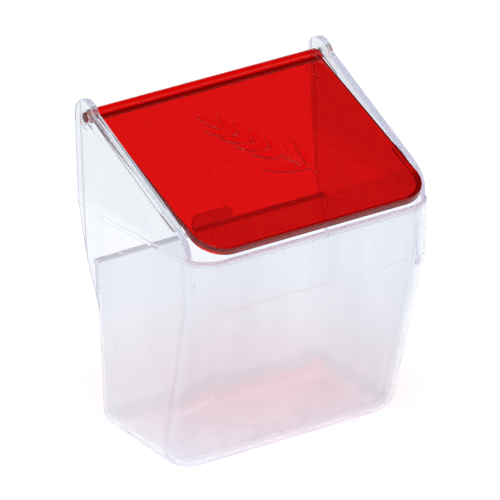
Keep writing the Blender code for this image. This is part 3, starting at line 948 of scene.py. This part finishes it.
def blend(tree, share, first, second):
    """A colour between two, each given as three numbers or an output."""
    node = tree.nodes.new("ShaderNodeMix")
    node.data_type = 'RGBA'
    tree.links.new(share, node.inputs["Factor"])
    for value, socket in ((first, node.inputs[6]), (second, node.inputs[7])):
        if isinstance(value, tuple):
            socket.default_value = (*value, 1.0)
        else:
            tree.links.new(value, socket)
    return node.outputs[2]


def coordinates(tree, scale=EVEN, frame_of=Matrix.Identity(4)):
    """Places on the piece in metres, in a frame of their own where one is given."""
    inverse = frame_of.inverted()
    to_frame = tree.nodes.new("ShaderNodeMapping")
    to_frame.inputs["Rotation"].default_value = inverse.to_euler()
    to_frame.inputs["Location"].default_value = inverse.translation
    tree.links.new(tree.nodes.new("ShaderNodeTexCoord").outputs["Object"], to_frame.inputs["Vector"])
    stretch = tree.nodes.new("ShaderNodeMapping")
    stretch.inputs["Scale"].default_value = scale
    tree.links.new(to_frame.outputs[0], stretch.inputs["Vector"])
    return stretch.outputs[0]


def split(tree, vector):
    """X, Y and Z of a vector."""
    node = tree.nodes.new("ShaderNodeSeparateXYZ")
    tree.links.new(vector, node.inputs[0])
    return tuple(node.outputs)


def noise(tree, stretch, scale, detail):
    node = tree.nodes.new("ShaderNodeTexNoise")
    node.inputs["Scale"].default_value = scale
    node.inputs["Detail"].default_value = detail
    tree.links.new(coordinates(tree, stretch), node.inputs["Vector"])
    return node.outputs["Fac"]


def hairlines(tree, stretch, patch_scale):
    """Fine broken scratches: level lines of a stretched noise, kept only in patches."""
    from_level = distance(tree, noise(tree, stretch, 1.0, 1.0), 0.5)
    patch = rising(tree, noise(tree, EVEN, patch_scale, 1.0), SCRATCH_PATCH)
    return product(tree, falling(tree, from_level, SCRATCH_LINE), patch)


def plastic(name, ambient, shadow, volume_colour, density, clearness=1.0):
    """A clear plastic. Light that is still inside after many reflections is given the ambient colour."""
    material = bpy.data.materials.new(name)
    material.use_nodes = True
    tree = material.node_tree
    shader = tree.nodes["Principled BSDF"]
    shader.inputs["IOR"].default_value = REFRACTIVE_INDEX
    shader.inputs["Transmission Weight"].default_value = clearness
    shader.inputs["Emission Color"].default_value = (*ambient, 1.0)
    path = tree.nodes.new("ShaderNodeLightPath")
    trapped = math_node(tree, 'GREATER_THAN', path.outputs["Glossy Depth"], MOST_REFLECTIONS)
    lost = math_node(tree, 'GREATER_THAN', path.outputs["Ray Depth"], MOST_BOUNCES)
    tree.links.new(math_node(tree, 'MAXIMUM', trapped, lost), shader.inputs["Emission Strength"])
    clear = tree.nodes.new("ShaderNodeBsdfTransparent")
    clear.inputs["Color"].default_value = (*shadow, 1.0)
    mix = tree.nodes.new("ShaderNodeMixShader")
    tree.links.new(path.outputs["Is Shadow Ray"], mix.inputs[0])
    tree.links.new(shader.outputs[0], mix.inputs[1])
    tree.links.new(clear.outputs[0], mix.inputs[2])
    volume = tree.nodes.new("ShaderNodeVolumeAbsorption")
    volume.inputs["Color"].default_value = (*volume_colour, 1.0)
    volume.inputs["Density"].default_value = density
    output = tree.nodes["Material Output"]
    tree.links.new(mix.outputs[0], output.inputs["Surface"])
    tree.links.new(volume.outputs[0], output.inputs["Volume"])
    return material, tree, shader


def roughen(tree, shader, film, levels, scratches, scratch_roughness):
    """Roughness that varies with a film on the surface and is higher on the scratches."""
    smeared = fade(tree, noise(tree, *film), FILM_LEVELS, levels)
    roughness = math_node(tree, 'ADD', smeared, product(tree, scratches, scratch_roughness))
    tree.links.new(roughness, shader.inputs["Roughness"])


def relief(tree, shader, marks, waves, scratches):
    """Bump: marks and waves stand up and scratches go in. Each is a pattern and a height in metres."""
    height = math_node(tree, 'ADD', product(tree, *marks), product(tree, *waves))
    height = math_node(tree, 'SUBTRACT', height, product(tree, *scratches))
    bump = tree.nodes.new("ShaderNodeBump")
    bump.inputs["Distance"].default_value = 1.0
    tree.links.new(height, bump.inputs["Height"])
    tree.links.new(bump.outputs[0], shader.inputs["Normal"])


def corner_shade_lines(tree):
    """Painted shade: dark lines where the side walls start to turn into the front corners."""
    _, y, z = split(tree, coordinates(tree, frame_of=RIM_FRAME))
    slant = (FLOOR["front"] - CREASE["front"]) / (CREASE_Z - floor_z())
    set_back = product(tree, math_node(tree, 'SUBTRACT', CREASE_Z, z), slant)
    set_back = math_node(tree, 'MAXIMUM', set_back, 0.0)
    turn = math_node(tree, 'ADD', set_back, CREASE["front"] + CREASE["radius"])
    line = falling(tree, distance(tree, y, turn), CORNER_LINE, CORNER_STRENGTH)
    return product(tree, line, falling(tree, z, CORNER_TOP))


def thick_edge_shade(tree):
    """Painted shade on the sill, its tab and the upright edges of the rear opening, which show darker
    than the walls.
    """
    x, y, z = split(tree, coordinates(tree, frame_of=RIM_FRAME))
    side = distance(tree, x, 0.0)
    height = product(tree, rising(tree, z, SILL_BOTTOM, SILL_STRENGTH),
                     fade(tree, z, SILL_TOP, (1.0, TAB_SHARE)))
    sill_shade = product(tree, rising(tree, y, SILL_FACE), height, falling(tree, side, SILL_END))
    rear_shade_line = product(tree, falling(tree, distance(tree, y, REAR_LINE_Y), REAR_LINE),
                        rising(tree, z, REAR_LINE_FOOT), falling(tree, side, CHEEK_INSIDE))
    return math_node(tree, 'MAXIMUM', sill_shade, rear_shade_line)


def foot_shade(tree):
    """Painted shade on the rounded turn from the walls to the floor."""
    _, _, z = split(tree, coordinates(tree))
    return product(tree, rising(tree, z, FOOT_BOTTOM, FOOT_STRENGTH), falling(tree, z, FOOT_TOP))


def rim_reflection(tree):
    """Painted reflection of the lid's red edge on the top of the front wall."""
    _, y, z = split(tree, coordinates(tree, frame_of=RIM_FRAME))
    return product(tree, rising(tree, z, RIM_TOP), falling(tree, y, RIM_SIDES))


def clear_plastic():
    """Clear plastic: greyer above the rim, clouded, with painted shade on its corners, thick edges and
    foot, a painted reflection of the lid on its rim, and bright scratches.
    """
    material, tree, shader = plastic("clear_polystyrene", CLEAR_AMBIENT, CLEAR_SHADOW, CLEAR_VOLUME,
                                     CLEAR_DENSITY, CLEAR_SHARE)
    scratches = math_node(tree, 'MAXIMUM', hairlines(tree, *LEVEL_SCRATCHES),
                          hairlines(tree, *UPRIGHT_SCRATCHES))
    _, _, z = split(tree, coordinates(tree))
    colour = blend(tree, rising(tree, z, ABOVE_RIM), CLEAR_BELOW_RIM, CLEAR_ABOVE_RIM)
    clouds = rising(tree, noise(tree, *CLOUDS), CLOUD_LEVELS, CLOUD_STRENGTH)
    bands = rising(tree, noise(tree, *BANDS), BAND_LEVELS, BAND_STRENGTH)
    for share, tint in ((clouds, CLOUD_COLOUR), (bands, BAND_COLOUR),
                        (corner_shade_lines(tree), CORNER_SHADE_COLOUR), (thick_edge_shade(tree), EDGE_SHADE_COLOUR),
                        (foot_shade(tree), FOOT_SHADE_COLOUR), (rim_reflection(tree), RIM_REFLECTION_COLOUR),
                        (scratches, SCRATCH_COLOUR)):
        colour = blend(tree, share, colour, tint)
    tree.links.new(colour, shader.inputs["Base Color"])
    roughen(tree, shader, CLEAR_FILM, CLEAR_ROUGHNESS, scratches, CLEAR_SCRATCH_ROUGHNESS)
    relief(tree, shader, (noise(tree, *STREAKS), STREAK_HEIGHT),
           (noise(tree, *CLEAR_WAVES), CLEAR_WAVE_HEIGHT), (scratches, CLEAR_SCRATCH_DEPTH))
    return material


def ejector_rings(tree):
    """Four faint rings near the lid's corners."""
    x, y, _ = split(tree, coordinates(tree, frame_of=LID_FRAME))
    x = math_node(tree, 'SUBTRACT', distance(tree, x, 0.0), EJECTOR_PLACE[0])
    y = math_node(tree, 'SUBTRACT', distance(tree, y, EJECTOR_MIDDLE_Y), EJECTOR_PLACE[1])
    squares = math_node(tree, 'ADD', product(tree, x, x), product(tree, y, y))
    from_ring = distance(tree, math_node(tree, 'SQRT', squares), EJECTOR_RADIUS)
    return falling(tree, from_ring, (0.0, EJECTOR_WIDTH))


def groove_shade(tree):
    """Painted shade in the groove between the lid's flat and its hinge bar."""
    _, y, z = split(tree, coordinates(tree, frame_of=LID_FRAME))
    line = falling(tree, distance(tree, y, GROOVE_Y), GROOVE_LINE, GROOVE_STRENGTH)
    return product(tree, line, rising(tree, z, GROOVE_FOOT))


def lip_shade(tree):
    """Painted shade on the lip under the lid's front end."""
    _, y, z = split(tree, coordinates(tree, frame_of=LID_FRAME))
    return product(tree, falling(tree, z, LIP_TOP), falling(tree, y, LIP_REAR))


def red_plastic():
    """Red plastic: its colour comes from its depth, with a faint mottle, and painted shade in the groove
    and on the lip.
    """
    material, tree, shader = plastic("red_polystyrene", RED_AMBIENT, RED_SHADOW, RED_VOLUME, RED_DENSITY)
    shader.inputs["Specular Tint"].default_value = (*RED_REFLECTION, 1.0)
    colour = blend(tree, rising(tree, noise(tree, *RED_MOTTLE), MOTTLE_LEVELS), RED_DARK, RED_LIGHT)
    for share, tint in ((groove_shade(tree), GROOVE_SHADE_COLOUR), (lip_shade(tree), LIP_SHADE_COLOUR)):
        colour = blend(tree, share, colour, tint)
    tree.links.new(colour, shader.inputs["Base Color"])
    scratches = hairlines(tree, *LID_SCRATCHES)
    roughen(tree, shader, RED_FILM, RED_ROUGHNESS, scratches, RED_SCRATCH_ROUGHNESS)
    relief(tree, shader, (ejector_rings(tree), RING_HEIGHT), (noise(tree, *RED_WAVES), RED_WAVE_HEIGHT),
           (scratches, RED_SCRATCH_DEPTH))
    return material


# ---- stage --------------------------------------------------------------------------------

def make_floor():
    """A pale disc just under the feeder, lit a little by itself so that it stays white far off."""
    bpy.ops.mesh.primitive_circle_add(vertices=FLOOR_SIDES, radius=FLOOR_RADIUS, fill_type='NGON')
    floor = bpy.context.active_object
    floor.name = "floor"
    floor.location.z = CAD_LOW.z - FLOOR_GAP
    material = bpy.data.materials.new("pale_floor")
    material.use_nodes = True
    shader = material.node_tree.nodes["Principled BSDF"]
    shader.inputs["Base Color"].default_value = (*FLOOR_COLOUR, 1.0)
    shader.inputs["Roughness"].default_value = FLOOR_ROUGHNESS
    shader.inputs["Emission Color"].default_value = (1.0, 1.0, 1.0, 1.0)
    shader.inputs["Emission Strength"].default_value = FLOOR_GLOW
    floor.data.materials.append(material)


def make_light(name, place, size, energy):
    data = bpy.data.lights.new(name, 'AREA')
    data.shape = 'DISK'
    data.size = size
    data.energy = energy
    light = bpy.data.objects.new(name, data)
    bpy.context.scene.collection.objects.link(light)
    light.location = place
    light.rotation_euler = (LIGHT_TARGET - place).to_track_quat('-Z', 'Y').to_euler()


def make_world():
    """A light tent: brightest low down, greyer above, with a dark card above and behind the lid."""
    world = bpy.data.worlds.new("studio")
    bpy.context.scene.world = world
    world.use_nodes = True
    tree = world.node_tree
    direction = tree.nodes.new("ShaderNodeTexCoord").outputs["Generated"]
    to_card = tree.nodes.new("ShaderNodeVectorMath")
    to_card.operation = 'DOT_PRODUCT'
    to_card.inputs[1].default_value = CARD_DIRECTION
    tree.links.new(direction, to_card.inputs[0])
    _, _, z = split(tree, direction)
    tent = fade(tree, z, TENT_HEIGHTS, TENT_STRENGTHS)
    card = fade(tree, to_card.outputs["Value"], CARD_EDGES, CARD_STRENGTHS)
    background = tree.nodes["Background"]
    background.inputs["Color"].default_value = (*TENT_COLOUR, 1.0)
    tree.links.new(product(tree, tent, card), background.inputs["Strength"])


def make_camera():
    back = (CAMERA_PLACE - CAMERA_TARGET).normalized()
    right = Vector((0, 0, 1)).cross(back).normalized()
    up = back.cross(right)
    x_axis = right * math.cos(CAMERA_ROLL) + up * math.sin(CAMERA_ROLL)
    y_axis = up * math.cos(CAMERA_ROLL) - right * math.sin(CAMERA_ROLL)
    turn = Matrix((x_axis, y_axis, back)).transposed().to_4x4()
    data = bpy.data.cameras.new("camera")
    data.sensor_width = CAMERA_SENSOR
    data.lens = CAMERA_LENS
    data.clip_start = 0.1
    data.clip_end = 30.0
    camera = bpy.data.objects.new("camera", data)
    bpy.context.scene.collection.objects.link(camera)
    camera.matrix_world = Matrix.Translation(CAMERA_PLACE) @ turn
    bpy.context.scene.camera = camera


bin_piece = build_bin()
bin_piece.name = "clear_bin"
bin_piece.data.materials.clear()
bin_piece.data.materials.append(clear_plastic())
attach(bin_piece, "bin")
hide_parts("bin")

lid_piece = build_lid()
lid_piece.name = "red_lid"
lid_piece.data.materials.clear()
lid_piece.data.materials.append(red_plastic())
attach(lid_piece, "lid")
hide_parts("lid")

make_floor()
make_world()
for light_name, light_place, light_size, light_energy in LIGHTS:
    make_light(light_name, light_place, light_size, light_energy)
make_camera()
bpy.context.scene.view_settings.view_transform = 'Standard'
